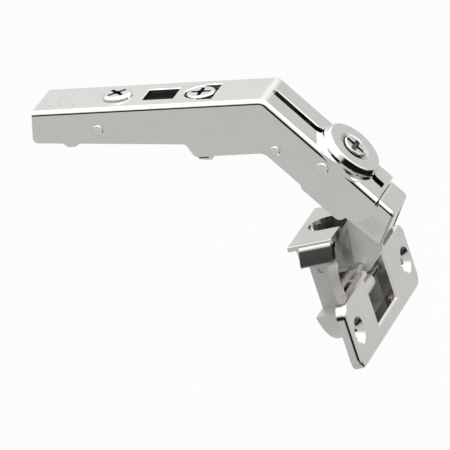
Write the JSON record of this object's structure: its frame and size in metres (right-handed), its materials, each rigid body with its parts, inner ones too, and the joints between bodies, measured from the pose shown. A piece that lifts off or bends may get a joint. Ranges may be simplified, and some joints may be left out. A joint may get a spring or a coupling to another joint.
{
  "type": "concealed cup hinge",
  "caption": "Concealed cup hinge for a folding door: angled clip-on arm with adjusting screws, round cup with a screw flange, swung by short links.",
  "frame": {"origin": "centre of the face of the clip adapter that rests on the mounting plate", "axes": "+X along the arm from its rear end to the bend, +Y along the hinge pins, +Z away from the cabinet panel"},
  "size_m": [0.091, 0.0564, 0.0684],
  "materials": {
    "nickel_sheet": "nickel plated sheet steel, satin",
    "nickel_cast": "nickel plated zinc casting, satin",
    "nickel_turned": "nickel plated steel, bright",
    "spring_steel": "drawn wire"
  },
  "bodies": {
    "adapter": {"clip_adapter": "nickel_sheet", "latch_pin": "nickel_turned", "latch_spring": "spring_steel"},
    "arm": {"arm_channel": "nickel_sheet", "guide_rivets": "nickel_turned", "carrier_pivot": "nickel_turned", "stop_rivets": "nickel_turned"},
    "cam": {"depth_cam": "nickel_turned", "cam_washer": "nickel_turned"},
    "latch": {"release_latch": "nickel_sheet"},
    "lock": {"lock_screw": "nickel_turned"},
    "front": {"carrier": "nickel_sheet", "pivot_sleeve": "nickel_turned", "outer_link_pin": "nickel_turned", "inner_link_pin": "nickel_turned"},
    "adjuster": {"side_screw": "nickel_turned"},
    "outer": {"outer_link": "nickel_sheet"},
    "inner": {"inner_link": "nickel_sheet"},
    "door_cup": {"cup": "nickel_cast", "outer_cup_pin": "nickel_turned", "inner_cup_pin": "nickel_turned"}
  },
  "joints": [
    {"name": "depth_slide", "type": "slide", "parent": "adapter", "child": "arm", "axis": [1, 0, 0], "range_m": [-0.002, 0.002]},
    {"name": "depth_cam_turn", "type": "hinge", "parent": "arm", "child": "cam", "pos_m": [0.0299, 0, 0.0024], "axis": [0, 0, 1], "range_deg": [-90, 90]},
    {"name": "latch_swing", "type": "hinge", "parent": "adapter", "child": "latch", "pos_m": [-0.0008, 0, -0.0029], "axis": [0, 1, 0], "range_deg": [0, 8], "stiffness_Nm_per_rad": 0.02, "springref_deg": -8.59, "deforming": ["latch_spring"]},
    {"name": "lock_screw_turn", "type": "hinge", "parent": "adapter", "child": "lock", "pos_m": [0.0076, 0, 0.0024], "axis": [0, 0, 1], "range_deg": [0, 360]},
    {"name": "carrier_tilt", "type": "hinge", "parent": "arm", "child": "front", "pos_m": [0.04952, 0, -0.01146], "axis": [0, -1, 0], "range_deg": [-1.4, 1.4]},
    {"name": "side_screw_turn", "type": "hinge", "parent": "arm", "child": "adjuster", "pos_m": [0.06546, 0, -0.01651], "axis": [0.7443, 0, 0.6678], "range_deg": [-158.8, 158.8]},
    {"name": "outer_link_swing", "type": "hinge", "parent": "front", "child": "outer", "pos_m": [0.0702, 0, -0.03362], "axis": [0, -1, 0], "range_deg": [0, 35.7]},
    {"name": "inner_link_swing", "type": "hinge", "parent": "front", "child": "inner", "pos_m": [0.06944, 0, -0.02933], "axis": [0, -1, 0], "range_deg": [0, 37.43]},
    {"name": "cup_swing", "type": "hinge", "parent": "outer", "child": "door_cup", "pos_m": [0.06601, 0, -0.0452], "axis": [0, -1, 0], "range_deg": [0, 24.35]}
  ],
  "couplings": [
    {"joint": "depth_cam_turn", "follows": "depth_slide", "rad_per_m": 785},
    {"joint": "side_screw_turn", "follows": "carrier_tilt", "ratio": 113.1},
    {"joint": "inner_link_swing", "follows": "outer_link_swing", "ratio": 1.0471},
    {"joint": "cup_swing", "follows": "outer_link_swing", "ratio": 0.68067}
  ]
}
